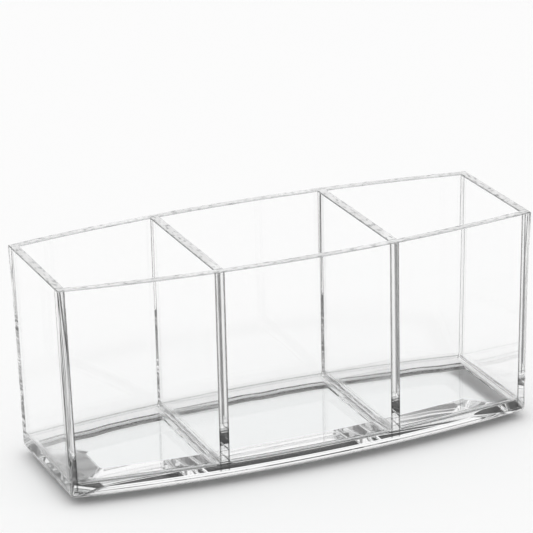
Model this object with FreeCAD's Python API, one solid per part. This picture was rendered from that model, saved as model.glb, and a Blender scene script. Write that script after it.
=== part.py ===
import FreeCAD, Part
import os

# Driving sizes in millimetres
rim_width = 220.0            # across the end panels at the rim
end_lean = 1.8               # how far each end panel leans out between the base and the rim
end_depth = 63.4             # front to back at the ends
panel_bow = 10.2             # bulge of the front and back panels at their middle
rim_height = 97.5            # table to rim
panel_thickness = 4.0        # front, back and end panels
divider_thickness = 4.4
divider_share = 0.367        # divider centre, as a share of half the rim width
corner_radius = 2.5          # outer upright corners, on the front and back panels
edge_ease = 0.6              # rounding of the polished edges at the rim
end_bevel = 21.0             # level width of the bevel under the base, at the ends
bow_bevel = 25.5             # the same at the front and back
bevel_rise = 3.5             # height of the base's lower edge above the table
base_edge_height = 2.2       # upright band of the base below the panels
floor_height = 7.7           # table to the floor of the compartments
cove_radius = 3.0            # hollow rounding between floor and walls
cove_lip = 0.4               # thickness left at the top of the cove
overrun = 5.0                # cutting shapes reach past the stock by this much

# Derived sizes
half_width = rim_width / 2
base_half_width = half_width - end_lean
half_end_depth = end_depth / 2
half_mid_depth = half_end_depth + panel_bow
bow_radius = (half_width ** 2 + panel_bow ** 2) / (2 * panel_bow)
bow_centre = bow_radius - half_mid_depth
wall_foot = bevel_rise + base_edge_height
wall_height = rim_height - wall_foot
cove_top = floor_height + cove_radius
divider_place = divider_share * half_width
divider_half = divider_thickness / 2
front = -1
back = 1
left = -1
right = 1


def vec(x, y, z):
    return FreeCAD.Vector(x, y, z)


def box(x_low, x_high, z_low, z_high):
    # Block through the full depth of the holder
    depth = half_mid_depth + overrun
    return Part.makeBox(x_high - x_low, 2 * depth, z_high - z_low, vec(x_low, -depth, z_low))


def bow_cylinder(side, inset, z_low, z_high):
    # Round body whose skin follows the bow of the front or back panel
    foot = vec(0, -side * bow_centre, z_low)
    return Part.makeCylinder(bow_radius - inset, z_high - z_low, foot)


def lean_half_width(z):
    return base_half_width + end_lean * (z - wall_foot) / wall_height


def end_block(inset, z_low, z_high):
    # Block through the depth, with the lean of the end panels on its two ends
    depth = half_mid_depth + overrun
    low = lean_half_width(z_low) - inset
    high = lean_half_width(z_high) - inset
    corners = [(-low, z_low), (low, z_low), (high, z_high), (-high, z_high), (-low, z_low)]
    outline = Part.makePolygon([vec(x, -depth, z) for x, z in corners])
    return Part.Face(outline).extrude(vec(0, 2 * depth, 0))


def between_panels(z_low, z_high):
    # Space between the inner faces of the front and back panels
    front_skin = bow_cylinder(front, panel_thickness, z_low, z_high)
    back_skin = bow_cylinder(back, panel_thickness, z_low, z_high)
    return front_skin.common(back_skin)


def inside(z_low, z_high):
    # Space between the inner faces of all four panels
    return between_panels(z_low, z_high).common(end_block(panel_thickness, z_low, z_high))


def divider_slab(side, z_low, z_high):
    middle = side * divider_place
    return box(middle - divider_half, middle + divider_half, z_low, z_high)


def at_rim(edge):
    return min(vertex.Z for vertex in edge.Vertexes) > rim_height - edge_ease / 2


def runs_along_depth(edge):
    first, last = edge.Vertexes[0].Point, edge.Vertexes[-1].Point
    return abs(first.y - last.y) > abs(first.x - last.x)


def ease_long_edges(shape):
    # Round the two long rim edges of a panel that runs from front to back
    edges = [edge for edge in shape.Edges if at_rim(edge) and runs_along_depth(edge)]
    return shape.makeFillet(edge_ease, edges)


def bowed_panel(side):
    # Front or back panel: full width, bowed, with rounded outer corners and an eased rim
    outer = bow_cylinder(side, 0, wall_foot, rim_height)
    inner = bow_cylinder(side, panel_thickness, wall_foot - overrun, rim_height + overrun)
    panel = outer.cut(inner).common(end_block(0, wall_foot, rim_height))
    half_way = bow_radius - panel_thickness / 2
    uprights = []
    for edge in panel.Edges:
        first, last = edge.Vertexes[0].Point, edge.Vertexes[-1].Point
        reach = vec(first.x, first.y + side * bow_centre, 0).Length
        if abs(first.z - last.z) > wall_height / 2 and reach > half_way:
            uprights.append(edge)
    panel = panel.makeFillet(corner_radius, uprights)
    return panel.makeFillet(edge_ease, [edge for edge in panel.Edges if at_rim(edge)])


def end_panel(side):
    # End panel: leans outward and butts between the front and back panels
    slab = end_block(0, wall_foot, rim_height)
    slab = slab.cut(end_block(panel_thickness, wall_foot - overrun, rim_height + overrun))
    reach = half_width + overrun
    low, high = sorted((0, side * reach))
    slab = slab.common(box(low, high, wall_foot, rim_height))
    return ease_long_edges(slab.common(between_panels(wall_foot, rim_height)))


def divider(side):
    # Upright divider standing in a cross groove of the base
    slab = divider_slab(side, wall_foot, rim_height)
    return ease_long_edges(slab.common(between_panels(wall_foot, rim_height)))


def base_outline(end_inset, bow_inset, z):
    # Plan of the base: bowed front and back, straight ends and rounded corners
    reach = base_half_width - end_inset
    skin = bow_radius - bow_inset
    corner_x = reach - corner_radius
    to_corner = skin - corner_radius
    drop = (to_corner ** 2 - corner_x ** 2) ** 0.5
    corner_y = drop - bow_centre
    spread = vec(corner_x, drop, 0).normalize()
    meet = vec(spread.x * skin, spread.y * skin - bow_centre, z)
    halfway = vec(1, 0, 0).add(spread).normalize()
    turn = vec(corner_x + halfway.x * corner_radius, corner_y + halfway.y * corner_radius, z)
    straight = vec(reach, corner_y, z)
    crown = vec(0, skin - bow_centre, z)

    def flip(point, side_x, side_y):
        return vec(side_x * point.x, side_y * point.y, z)

    def arc(start, through, stop):
        return Part.Arc(start, through, stop).toShape()

    def corner(side_x, side_y):
        points = [flip(point, side_x, side_y) for point in (straight, turn, meet)]
        return points if side_x == side_y else points[::-1]

    edges = []
    edges.append(arc(*corner(right, back)))
    edges.append(arc(meet, crown, flip(meet, left, back)))
    edges.append(arc(*corner(left, back)))
    edges.append(Part.makeLine(flip(straight, left, back), flip(straight, left, front)))
    edges.append(arc(*corner(left, front)))
    edges.append(arc(flip(meet, left, front), flip(crown, right, front), flip(meet, right, front)))
    edges.append(arc(*corner(right, front)))
    edges.append(Part.makeLine(flip(straight, right, front), straight))
    return Part.Wire(edges)


def coved_block(x_low, x_high):
    # Hollow of one compartment floor, with its lower edges rounded
    top = cove_top + overrun
    block = box(x_low + cove_lip, x_high - cove_lip, floor_height, top)
    lower = [edge for edge in block.Edges if edge.BoundBox.ZMax < cove_top and runs_along_depth(edge)]
    block = block.makeFillet(cove_radius, lower)
    for side in (front, back):
        skin = bow_cylinder(side, panel_thickness + cove_lip, floor_height, top)
        rims = [edge for edge in skin.Edges if edge.BoundBox.ZMax < cove_top]
        block = block.common(skin.makeFillet(cove_radius, rims))
    return block


def base():
    # Bevelled underside, upright edge band and three coved floors
    pad = base_outline(end_bevel, bow_bevel, 0)
    lower_edge = base_outline(0, 0, bevel_rise)
    bevel = Part.makeLoft([pad, lower_edge], True, True)
    band = Part.Face(lower_edge).extrude(vec(0, 0, base_edge_height))
    floors = inside(wall_foot, cove_top)
    for side in (left, right):
        floors = floors.cut(divider_slab(side, wall_foot - overrun, cove_top + overrun))
    end = base_half_width - panel_thickness
    near = divider_place - divider_half
    far = divider_place + divider_half
    for x_low, x_high in ((-end, -far), (-near, near), (far, end)):
        floors = floors.cut(coved_block(x_low, x_high))
    return bevel.fuse(band).fuse(floors).removeSplitter()


nodes = {
    "base": base(),
    "front_panel": bowed_panel(front),
    "back_panel": bowed_panel(back),
    "left_end_panel": end_panel(left),
    "right_end_panel": end_panel(right),
    "left_divider": divider(left),
    "right_divider": divider(right),
}

os.makedirs("parts", exist_ok=True)
for name, shape in nodes.items():
    solid = shape.Solids[0] if len(shape.Solids) == 1 else shape
    print(name, len(shape.Solids), shape.isValid(), round(shape.Volume))
    solid.exportStep("parts/" + name + ".step")
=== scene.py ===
import bpy
import bmesh
import math
from mathutils import Matrix, Vector


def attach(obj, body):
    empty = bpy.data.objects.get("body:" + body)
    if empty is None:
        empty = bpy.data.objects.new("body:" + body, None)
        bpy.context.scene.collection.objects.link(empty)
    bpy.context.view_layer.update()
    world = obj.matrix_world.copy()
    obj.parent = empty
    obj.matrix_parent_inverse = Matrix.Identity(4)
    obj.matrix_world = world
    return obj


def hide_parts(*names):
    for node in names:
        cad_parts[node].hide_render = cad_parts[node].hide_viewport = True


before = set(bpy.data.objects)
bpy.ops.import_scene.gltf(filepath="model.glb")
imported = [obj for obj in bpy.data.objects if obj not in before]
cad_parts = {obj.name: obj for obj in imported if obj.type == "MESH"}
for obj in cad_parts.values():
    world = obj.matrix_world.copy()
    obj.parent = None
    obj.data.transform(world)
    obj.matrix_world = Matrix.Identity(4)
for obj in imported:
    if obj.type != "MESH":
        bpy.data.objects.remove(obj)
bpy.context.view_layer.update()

mm = 0.001

# sizes that the pieces share, in millimetres, as in the solids
holder = {
    "rimWidth": 220.0,
    "endLean": 1.8,
    "endDepth": 63.4,
    "bow": 10.2,
    "rimHeight": 97.5,
    "panel": 4.0,        # thickness of the four walls
    "divider": 4.4,
    "dividerAt": 40.37,  # middle of each divider from the centre
    "lowerEdge": 3.5,    # outer lower edge above the table
    "foot": 5.7,         # where the walls stand on the base
    "floor": 7.7,
    "cove": 3.0,
    "ease": 0.6,         # rounded rim edges
    "seam": 0.15,        # fine groove where walls meet the base
}
halfWidth = holder["rimWidth"] / 2
baseHalf = halfWidth - holder["endLean"]
bowRadius = (halfWidth ** 2 + holder["bow"] ** 2) / (2 * holder["bow"])
bowCentre = bowRadius - holder["endDepth"] / 2 - holder["bow"]
wallHeight = holder["rimHeight"] - holder["foot"]
coveTop = holder["floor"] + holder["cove"]
near = holder["dividerAt"] - holder["divider"] / 2  # faces of the dividers, from the centre
far = holder["dividerAt"] + holder["divider"] / 2

# working values for the modelling steps
modelling = {
    "weld": 1e-7,           # metres, points closer than this are one
    "touch": 0.01,          # millimetres, heights closer than this are the same
    "longEdge": 20.0,       # rim edges along a slab are longer than this
    "roundProfile": 0.5,
    "smoothAngle": 35.0,
    "evenWeight": 100,
    "startRadius": 0.05,    # of the disc whose points are then placed one by one
}
facing = {"level": 0.9, "side": 0.8, "upright": 0.05}  # how much of a face's direction lies along an axis


def wallReach(z):  # half width over the leaning end walls at a height
    return baseHalf + holder["endLean"] * (z - holder["foot"]) / wallHeight


def innerBow(x):  # inner face of the bowed walls, from the middle plane
    return math.sqrt((bowRadius - holder["panel"]) ** 2 - x * x) - bowCentre


# modelling helpers
def deselectAll():
    if bpy.context.mode != "OBJECT":
        bpy.ops.object.mode_set(mode="OBJECT")
    bpy.ops.object.select_all(action="DESELECT")


def makeActive(piece):
    deselectAll()
    piece.select_set(True)
    bpy.context.view_layer.objects.active = piece


def startEdit(piece):
    makeActive(piece)
    bpy.ops.object.mode_set(mode="EDIT")


def endEdit():
    bpy.ops.object.mode_set(mode="OBJECT")


def pickEdges(piece, wanted):
    bpy.ops.mesh.select_mode(type="EDGE")
    bpy.ops.mesh.select_all(action="DESELECT")
    editMesh = bmesh.from_edit_mesh(piece.data)
    count = 0
    for edge in editMesh.edges:
        a, b = edge.verts[0].co / mm, edge.verts[1].co / mm
        if wanted(edge, a, b):
            edge.select_set(True)
            count += 1
    bmesh.update_edit_mesh(piece.data)
    return count


def pickFaces(piece, wanted):
    bpy.ops.mesh.select_mode(type="FACE")
    bpy.ops.mesh.select_all(action="DESELECT")
    editMesh = bmesh.from_edit_mesh(piece.data)
    editMesh.normal_update()
    count = 0
    for face in editMesh.faces:
        if wanted(face.calc_center_median() / mm, face.normal):
            face.select_set(True)
            count += 1
    bmesh.update_edit_mesh(piece.data)
    return count


def slicePiece(point, normal, clear=False):  # cut the whole piece by a plane, in edit mode
    bpy.ops.mesh.select_all(action="SELECT")
    bpy.ops.mesh.bisect(plane_co=Vector(point) * mm, plane_no=Vector(normal).normalized(),
                        use_fill=clear, clear_outer=clear, clear_inner=False,
                        threshold=modelling["weld"])


def roundEdges(width, segments):
    bpy.ops.mesh.bevel(offset=width * mm, offset_type="OFFSET", segments=segments,
                       profile=modelling["roundProfile"], affect="EDGES", clamp_overlap=False)


def tidyPiece(piece):
    bpy.ops.mesh.select_mode(type="VERT")
    bpy.ops.mesh.select_all(action="SELECT")
    bpy.ops.mesh.remove_doubles(threshold=modelling["weld"])
    bpy.ops.mesh.normals_make_consistent(inside=False)
    endEdit()
    makeActive(piece)
    bpy.ops.object.shade_smooth_by_angle(angle=math.radians(modelling["smoothAngle"]))


def evenShading(piece):  # the broad faces keep their own direction, the roundings blend between them
    makeActive(piece)
    even = piece.modifiers.new("even", "WEIGHTED_NORMAL")
    even.mode = "FACE_AREA"
    even.weight = modelling["evenWeight"]
    even.keep_sharp = True
    bpy.ops.object.modifier_apply(modifier=even.name)


def turnedCopy(piece, name):  # the holder is the same when turned half way round
    makeActive(piece)
    bpy.ops.object.duplicate(linked=False)
    twin = bpy.context.object
    twin.name = name
    twin.data.name = name
    twin.rotation_euler.z = math.pi
    bpy.ops.object.transform_apply(location=True, rotation=True, scale=True)
    return twin


def onRim(a, b):
    return min(a.z, b.z) > holder["rimHeight"] - modelling["touch"]


def betweenLevelAndUpright(edge):
    flat = [abs(face.normal.z) > facing["level"] for face in edge.link_faces]
    return len(flat) == 2 and flat[0] != flat[1]


def longRimEdge(edge, a, b):
    return onRim(a, b) and abs(a.y - b.y) > modelling["longEdge"]


# front wall: an upright slice swept along the bow, its ends cut to the lean
bowedWall = {
    "steps": 96,
    "overReach": 1.06,      # share of the sweep that is made, before the ends are cut
    "cornerOffset": 2.08,
    "cornerSegments": 6,
    "easeSegments": 3,
    "cornerZone": 0.5,      # how near the ends the upright corner edges lie
    "footZone": 0.3,        # the same for the lower edges at the ends
    "outerZone": 0.5,       # how far outside the inner face the outer lower edges lie
    "innerZone": 0.2,       # how near the inner face its own faces lie
}


def makeBowedWall(name):
    s = bowedWall
    sweep = math.asin(halfWidth / bowRadius) * s["overReach"]
    middle = bowRadius - holder["panel"] / 2
    place = Vector((-middle * math.sin(sweep), bowCentre - middle * math.cos(sweep),
                    holder["foot"] + wallHeight / 2)) * mm
    deselectAll()
    bpy.ops.mesh.primitive_plane_add(size=1, location=place, rotation=(0, math.pi / 2, -sweep))
    wall = bpy.context.object
    wall.name = name
    wall.data.name = name
    wall.scale = (wallHeight * mm, holder["panel"] * mm, 1)
    bpy.ops.object.transform_apply(location=True, rotation=True, scale=True)
    startEdit(wall)
    bpy.ops.mesh.select_all(action="SELECT")
    bpy.ops.mesh.spin(steps=s["steps"], angle=2 * sweep, center=(0, bowCentre * mm, 0), axis=(0, 0, -1))
    bpy.ops.mesh.select_all(action="SELECT")
    bpy.ops.mesh.normals_make_consistent(inside=False)
    for side in (-1, 1):
        slicePiece((side * baseHalf, 0, holder["foot"]),
                   (side * wallHeight, 0, -holder["endLean"]), clear=True)

    def outerCorner(edge, a, b):
        upright = abs(a.z - b.z) > wallHeight / 2
        atEnd = min(abs(a.x), abs(b.x)) > baseHalf - s["cornerZone"]
        return upright and atEnd and a.y < -innerBow(a.x) - holder["panel"] / 2

    print("  corner edges", pickEdges(wall, outerCorner))
    roundEdges(s["cornerOffset"], s["cornerSegments"])

    def rimEdge(edge, a, b):
        return onRim(a, b) and betweenLevelAndUpright(edge)

    print("  rim edges", pickEdges(wall, rimEdge))
    roundEdges(holder["ease"], s["easeSegments"])

    def lowerOuterEdge(edge, a, b):
        low = max(a.z, b.z) < holder["foot"] + modelling["touch"]
        outer = min(-a.y - innerBow(a.x), -b.y - innerBow(b.x)) > s["outerZone"]
        atEnd = min(abs(a.x), abs(b.x)) > baseHalf - s["footZone"]
        return low and betweenLevelAndUpright(edge) and (outer or atEnd)

    print("  lower edges", pickEdges(wall, lowerOuterEdge))
    roundEdges(holder["seam"], 1)
    # lines where the base, the dividers and the end walls are bonded on
    slicePiece((0, 0, coveTop), (0, 0, 1))
    slicePiece((0, 0, holder["rimHeight"] - holder["ease"]), (0, 0, 1))
    for side in (-1, 1):
        slicePiece((side * near, 0, 0), (1, 0, 0))
        slicePiece((side * far, 0, 0), (1, 0, 0))
        slicePiece((side * (baseHalf - holder["panel"]), 0, holder["foot"]),
                   (side * wallHeight, 0, -holder["endLean"]))
    tidyPiece(wall)
    evenShading(wall)
    return wall


def bondBowedWall(centre, normal):
    if normal.z < -facing["level"]:
        return True
    atInnerFace = innerBow(centre.x) - abs(centre.y) > -bowedWall["innerZone"]
    inner = atInnerFace and abs(normal.z) < facing["upright"]
    if not inner or centre.z > holder["rimHeight"] - holder["ease"]:
        return False
    atDivider = near < abs(centre.x) < far
    atEnd = abs(centre.x) > wallReach(centre.z) - holder["panel"]
    return centre.z < coveTop or atDivider or atEnd


frontPanel = makeBowedWall("frontPanel")
backPanel = turnedCopy(frontPanel, "backPanel")
print("stage: bowed walls", len(frontPanel.data.polygons))

# left end wall: a slab that leans out and butts between the bowed walls
endWall = {"overRun": 6.0, "easeSegments": 3, "footZone": 0.5}


def makeEndWall(name):
    s = endWall
    depth = 2 * innerBow(baseHalf) + 2 * s["overRun"]
    deselectAll()
    place = Vector((-baseHalf + holder["panel"] / 2, 0, holder["foot"] + wallHeight / 2)) * mm
    bpy.ops.mesh.primitive_cube_add(size=1, location=place)
    wall = bpy.context.object
    wall.name = name
    wall.data.name = name
    wall.scale = (holder["panel"] * mm, depth * mm, wallHeight * mm)
    bpy.ops.object.transform_apply(location=True, rotation=True, scale=True)
    startEdit(wall)
    pickFaces(wall, lambda centre, normal: normal.z > facing["level"])
    bpy.ops.transform.translate(value=(-holder["endLean"] * mm, 0, 0))
    middle = wallReach((holder["foot"] + holder["rimHeight"]) / 2) - holder["panel"] / 2
    slope = middle / (bowCentre + innerBow(middle))
    for side in (-1, 1):
        slicePiece((-middle, side * innerBow(middle), 0), (-slope, side, 0), clear=True)
    print("  rim edges", pickEdges(wall, longRimEdge))
    roundEdges(holder["ease"], s["easeSegments"])

    def lowerOuterEdge(edge, a, b):
        low = max(a.z, b.z) < holder["foot"] + modelling["touch"]
        return low and max(a.x, b.x) < -baseHalf + s["footZone"]

    print("  lower edges", pickEdges(wall, lowerOuterEdge))
    roundEdges(holder["seam"], 1)
    slicePiece((0, 0, coveTop), (0, 0, 1))
    slicePiece((0, 0, holder["rimHeight"] - holder["ease"]), (0, 0, 1))
    tidyPiece(wall)
    evenShading(wall)
    return wall


def bondEndWall(centre, normal):
    if normal.z < -facing["level"]:
        return True
    if abs(normal.y) > facing["side"]:
        return centre.z < holder["rimHeight"] - holder["ease"]
    inward = normal.x * centre.x < 0
    return inward and centre.z < coveTop


leftEndPanel = makeEndWall("leftEndPanel")
rightEndPanel = turnedCopy(leftEndPanel, "rightEndPanel")
print("stage: end walls", len(leftEndPanel.data.polygons))

# left divider: a slab between the bowed walls, standing in a groove of the base
dividerSlab = {"overRun": 6.0, "easeSegments": 3}


def makeDivider(name):
    s = dividerSlab
    at = -holder["dividerAt"]
    depth = 2 * innerBow(at) + 2 * s["overRun"]
    deselectAll()
    bpy.ops.mesh.primitive_cube_add(size=1, location=Vector((at, 0, holder["foot"] + wallHeight / 2)) * mm)
    slab = bpy.context.object
    slab.name = name
    slab.data.name = name
    slab.scale = (holder["divider"] * mm, depth * mm, wallHeight * mm)
    bpy.ops.object.transform_apply(location=True, rotation=True, scale=True)
    startEdit(slab)
    slope = at / (bowCentre + innerBow(at))
    for side in (-1, 1):
        slicePiece((at, side * innerBow(at), 0), (slope, side, 0), clear=True)
    print("  rim edges", pickEdges(slab, longRimEdge))
    roundEdges(holder["ease"], s["easeSegments"])
    slicePiece((0, 0, coveTop), (0, 0, 1))
    slicePiece((0, 0, holder["rimHeight"] - holder["ease"]), (0, 0, 1))
    tidyPiece(slab)
    evenShading(slab)
    return slab


def bondDivider(centre, normal):
    if normal.z < -facing["level"]:
        return True
    if abs(normal.y) > facing["side"]:
        return centre.z < holder["rimHeight"] - holder["ease"]
    return centre.z < coveTop


leftDivider = makeDivider("leftDivider")
rightDivider = turnedCopy(leftDivider, "rightDivider")
print("stage: dividers", len(leftDivider.data.polygons))

# base: a bowed plate, bevelled underneath, with three coved floors on top
basePlate = {
    "bowSteps": 240,
    "floorSteps": 28,
    "cornerRadius": 2.5,
    "cornerSteps": 6,
    "endBevel": 21.0,       # width of the bevel underneath, at the ends
    "bowBevel": 25.5,       # and at the front and back
    "shade": (12.0, 8.5, 5.0),  # lines on the bevel between its clear and its shaded strips
    "lowerEdgeEase": 1.3,   # rounding between the bevel and the upright band
    "easeSteps": 4,
    "coveSteps": 9,
    "lip": 0.04,
    "sink": 1.0,            # how far the floors reach into the plate before they are joined
    "bondZone": 0.5,        # the floors' sides are bonded from this height above the foot
    "bondTouch": 0.05,
    "padFacing": 0.999,     # the flat pad points straight down, the bevel a little less
    # moulded ripple along the back of each floor: distance from the wall, height above the floor
    "ripple": ((8.3, 1.31), (8.5, 1.3), (9.1, 0.98), (9.3, 0.97), (11.4, 0.96), (11.6, 0.95),
               (13.6, 0.02), (13.8, 0.0)),
    "wander": ((17.0, 0.2), (29.0, 0.3)),  # its wavelengths along the bow, sideways swing
    "ringGap": 0.02,        # between its rings at the sides of the floors
    "stepFacing": (0.3, 0.97),  # how steep its faces are
    "stepZone": (5.0, 15.0),    # and how far from the wall
}


def plateOutline(inset, z):  # plan of the base, anticlockwise from the right end
    s = basePlate
    share = s["bowBevel"] / s["endBevel"]
    reach, skin, corner = baseHalf - inset, bowRadius - inset * share, s["cornerRadius"]
    cornerX = reach - corner
    drop = math.sqrt((skin - corner) ** 2 - cornerX ** 2)
    cornerY = drop - bowCentre
    spread = math.atan2(cornerX, drop)
    quarter = []
    for k in range(s["cornerSteps"] + 1):
        angle = (math.pi / 2 - spread) * k / s["cornerSteps"]
        quarter.append((cornerX + corner * math.cos(angle), cornerY + corner * math.sin(angle)))
    back = []
    for i in range(1, s["bowSteps"]):
        angle = spread - 2 * spread * i / s["bowSteps"]
        back.append((skin * math.sin(angle), skin * math.cos(angle) - bowCentre))
    half = quarter + back + [(-x, y) for x, y in reversed(quarter)]
    return [Vector((x, y, z)) for x, y in half + [(-x, -y) for x, y in half]]


# plan of one floor, anticlockwise from its front left corner; the ripple moves its back edge in and up
def floorOutline(low, high, inset, z, reach=0, lift=0):
    steps = basePlate["floorSteps"]
    left, right = low + inset, high - inset
    front, back = [], []
    for i in range(steps + 1):
        x = left + (right - left) * i / steps
        sway = sum(swing * math.sin(2 * math.pi * x / wave) for wave, swing in basePlate["wander"])
        backInset = reach + sway if reach else inset
        skin = bowRadius - holder["panel"]
        front.append(Vector((x, bowCentre - math.sqrt((skin - inset) ** 2 - x * x), z)))
        back.append(Vector((x, math.sqrt((skin - backInset) ** 2 - x * x) - bowCentre, z + lift)))
    return front + back[::-1]


def stackRings(name, rings):  # a disc drawn up ring by ring, each extrusion placed on the next outline
    deselectAll()
    bpy.ops.mesh.primitive_circle_add(vertices=len(rings[0]), radius=modelling["startRadius"],
                                     fill_type="NGON")
    piece = bpy.context.object
    piece.name = name
    piece.data.name = name
    for vertex, point in zip(piece.data.vertices, rings[0]):
        vertex.co = point * mm
    startEdit(piece)
    bpy.ops.mesh.select_mode(type="FACE")
    bpy.ops.mesh.select_all(action="SELECT")
    for lower, upper in zip(rings, rings[1:]):
        bpy.ops.mesh.extrude_region_move(TRANSFORM_OT_translate={"value": (0, 0, 0)})
        editMesh = bmesh.from_edit_mesh(piece.data)
        for vertex in [v for v in editMesh.verts if v.select]:
            place = min(range(len(lower)), key=lambda i: (lower[i] * mm - vertex.co).length_squared)
            vertex.co = upper[place] * mm
        bmesh.update_edit_mesh(piece.data)
    bpy.ops.mesh.select_all(action="SELECT")
    bpy.ops.mesh.normals_make_consistent(inside=False)
    endEdit()
    return piece


def makeBase(name):
    s = basePlate
    slope = holder["lowerEdge"] / s["endBevel"]
    ease = s["lowerEdgeEase"]
    insets = (s["endBevel"],) + s["shade"]
    rings = [plateOutline(inset, slope * (s["endBevel"] - inset)) for inset in insets]
    for k in range(s["easeSteps"] + 1):
        t = k / s["easeSteps"]
        inset = ease * (1 - t) ** 2
        rings.append(plateOutline(inset, holder["lowerEdge"] - slope * inset + ease * t * t))
    rings.append(plateOutline(0, holder["foot"] - holder["seam"]))
    rings.append(plateOutline(holder["seam"], holder["foot"]))
    base = stackRings(name, rings)
    for low, high in ((-1, -far), (-near, near), (far, 1)):  # 1 and -1 stand for the end walls
        atFoot, atTop = wallReach(holder["foot"]) - holder["panel"], wallReach(coveTop) - holder["panel"]
        foot = [side * atFoot if abs(side) == 1 else side for side in (low, high)]
        top = [side * atTop if abs(side) == 1 else side for side in (low, high)]
        rings = [floorOutline(foot[0], foot[1], 0, holder["foot"] - s["sink"])]
        rings.append(floorOutline(top[0], top[1], 0, coveTop))
        for step in range(s["coveSteps"] + 1):
            angle = math.pi / 2 * step / s["coveSteps"]
            inset = s["lip"] + holder["cove"] * (1 - math.cos(angle))
            drop, lift = holder["cove"] * math.sin(angle), s["ripple"][0][1] * math.sin(angle)
            rings.append(floorOutline(top[0], top[1], inset, coveTop - drop, 0, lift))
        for k, (reach, lift) in enumerate(s["ripple"]):
            side = inset + s["ringGap"] * (k + 1)
            rings.append(floorOutline(top[0], top[1], side, holder["floor"], reach, lift))
        island = stackRings("floorBlock", rings)
        makeActive(base)
        join = base.modifiers.new("join", "BOOLEAN")
        join.operation = "UNION"
        join.solver = "EXACT"
        join.object = island
        bpy.ops.object.modifier_apply(modifier=join.name)
        bpy.data.objects.remove(island, do_unlink=True)
    startEdit(base)
    tidyPiece(base)
    startEdit(base)
    print("  pad line", pickEdges(base, lambda edge, a, b: max(a.z, b.z) < modelling["touch"]))
    bpy.ops.mesh.mark_sharp()
    endEdit()
    evenShading(base)
    return base


def bondBase(centre, normal):
    s = basePlate
    if normal.z > facing["level"] and abs(centre.z - holder["foot"]) < s["bondTouch"]:
        return True
    return abs(normal.z) < facing["upright"] and holder["foot"] + s["bondZone"] < centre.z < coveTop


holderBase = makeBase("holderBase")
print("stage: base", len(holderBase.data.polygons))


# materials
acrylicFinish = {
    "index": 1.49,
    "rippleScale": 55.0,    # moulded waviness, features per metre
    "rippleDetail": 1.0,
    "rippleDepth": 0.000006,
    "letThrough": (0.97, 0.975, 0.975, 1),
    "paintedShadeColour": (1, 1, 1, 1),
}
shadedFinish = {**acrylicFinish, "letThrough": (0.08, 0.08, 0.08, 1)}  # keeps light from the table beneath
# the steep faces of the ripple are painted dark: painted shade on the light that passes through them
stepPaintedShade = {**acrylicFinish, "paintedShadeColour": (0.1, 0.1, 0.1, 1)}
edgeFinishAndShade = {
    "index": 1.49,
    "streakScale": 800.0,
    "streakDetail": 3.0,
    "stretch": 0.35,        # streaks run along the edge
    "streakDepth": 0.000012,
    "hazeSpan": (0.4, 0.7),
    "smooth": 0.03,
    "hazy": 0.2,
    "clarity": 0.3,         # the rest is sawn and only half polished, and scatters light
    "patchSpan": (0.52, 0.68),
    # grey patches are painted shade, laid in the mottle of the sawn edge
    "pale": (1, 1, 1, 1),
    "grey": (0.42, 0.425, 0.43, 1),
    "letThrough": (0.6, 0.61, 0.61, 1),
}
# the roundings are painted darker than the rim tops: painted shade along the eased edges
easedFinishAndShade = {**edgeFinishAndShade, "clarity": 0.65, "pale": (0.6, 0.605, 0.61, 1), "grey": (0.35, 0.355, 0.36, 1)}


def clearShader(material, letThrough):  # polished clear plastic that lets soft light through to the table
    tree = material.node_tree
    clear = tree.nodes["Principled BSDF"]
    clear.inputs["Transmission Weight"].default_value = 1
    through = tree.nodes.new("ShaderNodeBsdfTransparent")
    through.inputs["Color"].default_value = letThrough
    path = tree.nodes.new("ShaderNodeLightPath")
    either = tree.nodes.new("ShaderNodeMath")
    either.operation = "MAXIMUM"
    tree.links.new(path.outputs["Is Shadow Ray"], either.inputs[0])
    tree.links.new(path.outputs["Is Diffuse Ray"], either.inputs[1])
    mix = tree.nodes.new("ShaderNodeMixShader")
    tree.links.new(either.outputs[0], mix.inputs["Fac"])
    tree.links.new(clear.outputs["BSDF"], mix.inputs[1])
    tree.links.new(through.outputs["BSDF"], mix.inputs[2])
    tree.links.new(mix.outputs["Shader"], tree.nodes["Material Output"].inputs["Surface"])
    return clear


def makeAcrylic(name, finish):
    material = bpy.data.materials.new(name)
    material.use_nodes = True
    clear = clearShader(material, finish["letThrough"])
    # painted shade on the light that passes through the surface; white leaves the plastic clear
    clear.inputs["Base Color"].default_value = finish["paintedShadeColour"]
    clear.inputs["IOR"].default_value = finish["index"]
    clear.inputs["Roughness"].default_value = 0.0
    tree = material.node_tree
    place = tree.nodes.new("ShaderNodeTexCoord")
    ripple = tree.nodes.new("ShaderNodeTexNoise")
    ripple.inputs["Scale"].default_value = finish["rippleScale"]
    ripple.inputs["Detail"].default_value = finish["rippleDetail"]
    tree.links.new(place.outputs["Object"], ripple.inputs["Vector"])
    bump = tree.nodes.new("ShaderNodeBump")
    bump.inputs["Strength"].default_value = 1.0
    bump.inputs["Distance"].default_value = finish["rippleDepth"]
    tree.links.new(ripple.outputs["Fac"], bump.inputs["Height"])
    tree.links.new(bump.outputs["Normal"], clear.inputs["Normal"])
    return material


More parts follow.
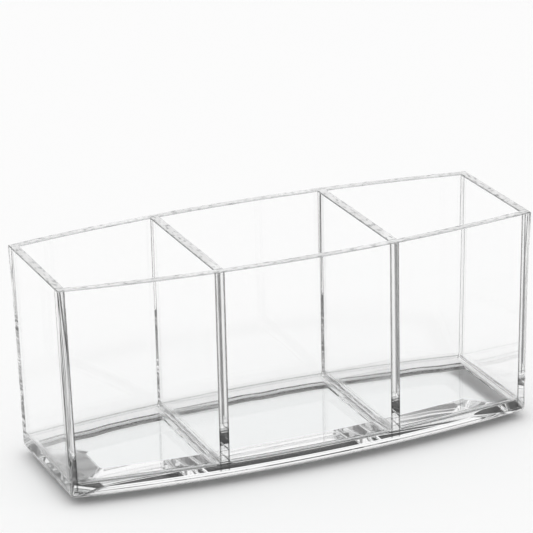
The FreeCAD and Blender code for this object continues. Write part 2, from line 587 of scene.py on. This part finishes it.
def makePolishedEdge(name, finish, along):
    material = bpy.data.materials.new(name)
    material.use_nodes = True
    clear = clearShader(material, finish["letThrough"])
    clear.inputs["IOR"].default_value = finish["index"]
    clear.inputs["Transmission Weight"].default_value = finish["clarity"]
    tree = material.node_tree
    place = tree.nodes.new("ShaderNodeTexCoord")
    stretch = tree.nodes.new("ShaderNodeMapping")
    stretch.inputs["Scale"].default_value = [finish["stretch"] if axis == along else 1.0 for axis in "xyz"]
    tree.links.new(place.outputs["Object"], stretch.inputs["Vector"])
    streak = tree.nodes.new("ShaderNodeTexNoise")
    streak.inputs["Scale"].default_value = finish["streakScale"]
    streak.inputs["Detail"].default_value = finish["streakDetail"]
    tree.links.new(stretch.outputs["Vector"], streak.inputs["Vector"])
    haze = tree.nodes.new("ShaderNodeMapRange")
    haze.inputs["From Min"].default_value = finish["hazeSpan"][0]
    haze.inputs["From Max"].default_value = finish["hazeSpan"][1]
    haze.inputs["To Min"].default_value = finish["smooth"]
    haze.inputs["To Max"].default_value = finish["hazy"]
    tree.links.new(streak.outputs["Fac"], haze.inputs["Value"])
    tree.links.new(haze.outputs["Result"], clear.inputs["Roughness"])
    # pale and grey patches: the mottle of the sawn edge, with painted shade in the grey
    patches = tree.nodes.new("ShaderNodeValToRGB")
    patches.color_ramp.elements[0].position = finish["patchSpan"][0]
    patches.color_ramp.elements[0].color = finish["pale"]
    patches.color_ramp.elements[1].position = finish["patchSpan"][1]
    patches.color_ramp.elements[1].color = finish["grey"]
    tree.links.new(streak.outputs["Fac"], patches.inputs["Fac"])
    tree.links.new(patches.outputs["Color"], clear.inputs["Base Color"])
    bump = tree.nodes.new("ShaderNodeBump")
    bump.inputs["Strength"].default_value = 1.0
    bump.inputs["Distance"].default_value = finish["streakDepth"]
    tree.links.new(streak.outputs["Fac"], bump.inputs["Height"])
    tree.links.new(bump.outputs["Normal"], clear.inputs["Normal"])
    return material


def makeBond(name):  # cemented faces, where the clear plastic runs on without a break
    material = bpy.data.materials.new(name)
    material.use_nodes = True
    tree = material.node_tree
    tree.nodes.remove(tree.nodes["Principled BSDF"])
    through = tree.nodes.new("ShaderNodeBsdfTransparent")
    through.inputs["Color"].default_value = (1, 1, 1, 1)
    tree.links.new(through.outputs["BSDF"], tree.nodes["Material Output"].inputs["Surface"])
    return material


cementFinish = {
    "wander": 90.0,         # how quickly the line wavers, per metre
    "wanderShare": 0.03,
    # share across the joint, and how much light gets through there
    "jointLine": ((0.0, 0.25), (0.12, 0.4), (0.2, 0.95), (0.44, 0.96), (0.5, 0.7),
                  (0.56, 0.96), (0.8, 0.95), (0.88, 0.4), (1.0, 0.25)),
    "footLine": ((0.0, 0.9), (0.34, 0.9), (0.42, 0.95), (0.56, 0.95), (0.64, 0.45), (0.74, 0.95)),
}


def makeCement(name, line):  # cemented joint with a fine grey line along its borders
    s = cementFinish
    material = bpy.data.materials.new(name)
    material.use_nodes = True
    tree = material.node_tree
    tree.nodes.remove(tree.nodes["Principled BSDF"])
    through = tree.nodes.new("ShaderNodeBsdfTransparent")
    place = tree.nodes.new("ShaderNodeUVMap")
    place.uv_map = "joint"
    split = tree.nodes.new("ShaderNodeSeparateXYZ")
    tree.links.new(place.outputs["UV"], split.inputs[0])
    waver = tree.nodes.new("ShaderNodeTexNoise")
    waver.noise_dimensions = "1D"
    waver.inputs["Scale"].default_value = s["wander"]
    tree.links.new(split.outputs["Y"], waver.inputs["W"])
    offset = tree.nodes.new("ShaderNodeMapRange")
    offset.inputs["To Min"].default_value = -s["wanderShare"]
    offset.inputs["To Max"].default_value = s["wanderShare"]
    tree.links.new(waver.outputs["Fac"], offset.inputs["Value"])
    across = tree.nodes.new("ShaderNodeMath")
    across.operation = "ADD"
    tree.links.new(split.outputs["X"], across.inputs[0])
    tree.links.new(offset.outputs["Result"], across.inputs[1])
    shade = tree.nodes.new("ShaderNodeValToRGB")
    points = shade.color_ramp.elements
    while len(points) < len(line):
        points.new(0.5)  # anywhere, since all of them are placed below
    for point, (at, level) in zip(points, line):
        point.position = at
        point.color = (level, level, level, 1)
    tree.links.new(across.outputs[0], shade.inputs["Fac"])
    tree.links.new(shade.outputs["Color"], through.inputs["Color"])
    tree.links.new(through.outputs["BSDF"], tree.nodes["Material Output"].inputs["Surface"])
    return material


wallAcrylic = makeAcrylic("wallAcrylic", acrylicFinish)
baseAcrylic = makeAcrylic("baseAcrylic", acrylicFinish)
shadedAcrylic = makeAcrylic("shadedAcrylic", shadedFinish)
stepPaintedShadeAcrylic = makeAcrylic("stepPaintedShadeAcrylic", stepPaintedShade)
cementedJoint = makeCement("cementedJoint", cementFinish["jointLine"])
cementedFoot = makeCement("cementedFoot", cementFinish["footLine"])
edgeAlongX = makePolishedEdge("polishedEdgeLong", edgeFinishAndShade, "x")
edgeAlongY = makePolishedEdge("polishedEdgeShort", edgeFinishAndShade, "y")
easedAlongX = makePolishedEdge("easedEdgeLong", easedFinishAndShade, "x")
easedAlongY = makePolishedEdge("easedEdgeShort", easedFinishAndShade, "y")
bondedFace = makeBond("bondedFace")


def paintJoint(piece, across, along):  # joint map: share across the joint, and metres along it
    joint = piece.data.uv_layers.new(name="joint")
    for loop in piece.data.loops:
        point = piece.data.vertices[loop.vertex_index].co / mm
        joint.data[loop.index].uv = (across(point), along(point) * mm)


def dress(piece, node, finishes, label):
    slots = list(finishes)
    for material in finishes.values():
        piece.data.materials.append(material)
    for face in piece.data.polygons:
        face.material_index = slots.index(label(face.center / mm, face.normal))
    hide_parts(node)
    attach(piece, "root")


def labelWall(bonded, jointed):
    def label(centre, normal):
        if bonded(centre, normal):
            return "joint" if jointed and abs(normal.y) > facing["side"] else "bonded"
        if centre.z < holder["rimHeight"] - holder["ease"]:
            return "body"
        return "rim" if normal.z > facing["level"] else "eased"
    return label


def labelBase(centre, normal):
    s = basePlate
    if bondBase(centre, normal):
        return "foot" if normal.y > facing["side"] else "bonded"
    if centre.z < holder["foot"] and abs(normal.z) < facing["level"]:  # upright band
        return "shaded"
    nearest, farthest = s["stepZone"]
    steepest, gentlest = s["stepFacing"]
    # the steep faces of the ripple get painted shade
    if steepest < normal.z < gentlest and nearest < innerBow(centre.x) - centre.y < farthest:
        return "step"
    if not -s["padFacing"] < normal.z < -facing["level"]:
        return "body"
    # what is left is the bevel underneath
    inset = s["endBevel"] * (1 - centre.z / holder["lowerEdge"])
    inner, middle, outer = s["shade"]
    if abs(normal.x) > facing["upright"]:  # ends and corners
        return "shaded" if inset < inner or normal.x < 0 else "body"
    clearEdge = outer if normal.y > 0 else 0
    return "shaded" if clearEdge < inset < middle else "body"


wallFinishes = {"body": wallAcrylic, "rim": edgeAlongX, "eased": easedAlongX, "bonded": bondedFace}
slabFinishes = {"body": wallAcrylic, "rim": edgeAlongY, "eased": easedAlongY, "bonded": bondedFace,
                "joint": cementedJoint}
baseFinishes = {"body": baseAcrylic, "shaded": shadedAcrylic, "step": stepPaintedShadeAcrylic,
                "bonded": bondedFace, "foot": cementedFoot}
for panel, node in ((frontPanel, "front_panel"), (backPanel, "back_panel")):
    dress(panel, node, wallFinishes, labelWall(bondBowedWall, False))
for panel, node in ((leftEndPanel, "left_end_panel"), (rightEndPanel, "right_end_panel")):
    paintJoint(panel, lambda point: (wallReach(point.z) - abs(point.x)) / holder["panel"],
               lambda point: point.z)
    dress(panel, node, slabFinishes, labelWall(bondEndWall, True))
for slab, node in ((leftDivider, "left_divider"), (rightDivider, "right_divider")):
    paintJoint(slab, lambda point: (abs(point.x) - near) / holder["divider"], lambda point: point.z)
    dress(slab, node, slabFinishes, labelWall(bondDivider, True))
paintJoint(holderBase, lambda point: (point.z - holder["foot"]) / (coveTop - holder["foot"]),
           lambda point: point.x + point.y)
dress(holderBase, "base", baseFinishes, labelBase)
print("stage: materials")

# studio: pale floor, white surroundings low down and a darker ceiling behind, without lamps
studio = {
    "floorSize": 12.0,
    "floorDrop": 0.0002,       # metres, so that the pad and the floor don't coincide
    "floorColour": (0.99, 0.99, 0.99, 1),
    "horizonTop": (0.05, 0.08),  # heights are shares of the dome
    "gapTop": (0.17, 0.22),
    "gapLevel": 0.15,          # between the table and the backdrop
    "backdropTop": (0.42, 0.46),
    "backdropSide": (-0.25, 0.35),
    "backdropEnd": (0.45, 0.55),  # right end of the backdrop
    "beside": 0.1,             # to the right of it
    "frontLevel": 0.95,        # beside the camera
    "ceilingTurn": (-0.7, -0.7, 0.0),  # the way in which the ceiling gets lighter
    "ceilingSpan": (-0.2, 0.6),
    "ceilingDark": 0.05,       # above the backdrop
    "ceilingLight": 0.8,       # over the camera's left shoulder
    "fillLevel": 1.0,          # even light on matt surfaces
}


def makeFloor():
    deselectAll()
    bpy.ops.mesh.primitive_plane_add(size=studio["floorSize"], location=(0, 0, -studio["floorDrop"]))
    floor = bpy.context.object
    floor.name = "studioFloor"
    paper = bpy.data.materials.new("studioPaper")
    paper.use_nodes = True
    matte = paper.node_tree.nodes["Principled BSDF"]
    matte.inputs["Base Color"].default_value = studio["floorColour"]
    matte.inputs["Roughness"].default_value = 1.0
    matte.inputs["Specular IOR Level"].default_value = 0.0
    floor.data.materials.append(paper)


def ramp(tree, value, span, levels):  # smooth change of level along a direction
    change = tree.nodes.new("ShaderNodeMapRange")
    change.interpolation_type = "SMOOTHSTEP"
    change.inputs["From Min"].default_value = span[0]
    change.inputs["From Max"].default_value = span[1]
    for socket, level in zip(("To Min", "To Max"), levels):
        if isinstance(level, (int, float)):
            change.inputs[socket].default_value = level
        else:
            tree.links.new(level, change.inputs[socket])
    tree.links.new(value, change.inputs["Value"])
    return change.outputs["Result"]


def makeSky():
    s = studio
    world = bpy.data.worlds.new("studioLight")
    bpy.context.scene.world = world
    world.use_nodes = True
    tree = world.node_tree
    place = tree.nodes.new("ShaderNodeTexCoord")
    split = tree.nodes.new("ShaderNodeSeparateXYZ")
    tree.links.new(place.outputs["Generated"], split.inputs[0])
    turned = tree.nodes.new("ShaderNodeVectorMath")
    turned.operation = "DOT_PRODUCT"
    turned.inputs[1].default_value = s["ceilingTurn"]
    tree.links.new(place.outputs["Generated"], turned.inputs[0])
    behind = ramp(tree, split.outputs["X"], s["backdropEnd"], (1.0, s["beside"]))
    around = ramp(tree, split.outputs["Y"], s["backdropSide"], (s["frontLevel"], behind))
    ceiling = ramp(tree, turned.outputs["Value"], s["ceilingSpan"], (s["ceilingDark"], s["ceilingLight"]))
    upper = ramp(tree, split.outputs["Z"], s["backdropTop"], (around, ceiling))
    gap = ramp(tree, split.outputs["Z"], s["gapTop"], (s["gapLevel"], upper))
    ring = ramp(tree, split.outputs["Z"], s["horizonTop"], (1.0, gap))
    path = tree.nodes.new("ShaderNodeLightPath")
    filled = ramp(tree, path.outputs["Is Diffuse Ray"], (0.0, 1.0), (ring, s["fillLevel"]))
    level = ramp(tree, path.outputs["Is Camera Ray"], (0.0, 1.0), (filled, 1.0))
    tree.links.new(level, tree.nodes["Background"].inputs["Strength"])
    tree.nodes["Background"].inputs["Color"].default_value = (1, 1, 1, 1)


makeFloor()
makeSky()

cameraSetup = {
    "azimuth": -22.8856,
    "elevation": 20.2877,
    "roll": -1.3234,
    "distance": 1277.88,
    "focal": 2934.25,       # in pixels of the 533 frame
    "frame": 533.0,
    "sensor": 36.0,
    "aim": (-3.06, 0.0, 80.14),
}


def makeCamera():
    s = cameraSetup
    around, high, roll = (math.radians(s[key]) for key in ("azimuth", "elevation", "roll"))
    back = Vector((math.sin(around) * math.cos(high), -math.cos(around) * math.cos(high), math.sin(high)))
    right = (-back).cross(Vector((0, 0, 1))).normalized()
    up = right.cross(-back)
    across = math.cos(roll) * right + math.sin(roll) * up
    above = -math.sin(roll) * right + math.cos(roll) * up
    place = (Vector(s["aim"]) + back * s["distance"]) * mm
    lens = bpy.data.cameras.new("photoCamera")
    lens.sensor_width = s["sensor"]
    lens.lens = s["focal"] / s["frame"] * s["sensor"]
    camera = bpy.data.objects.new("photoCamera", lens)
    bpy.context.scene.collection.objects.link(camera)
    camera.matrix_world = Matrix(((across.x, above.x, back.x, place.x),
                                  (across.y, above.y, back.y, place.y),
                                  (across.z, above.z, back.z, place.z),
                                  (0, 0, 0, 1)))
    bpy.context.scene.camera = camera


makeCamera()
scene = bpy.context.scene
scene.view_settings.view_transform = "Standard"
scene.cycles.max_bounces = 32
scene.cycles.glossy_bounces = 32
scene.cycles.transmission_bounces = 32
scene.cycles.transparent_max_bounces = 64
print("stage: studio and camera")
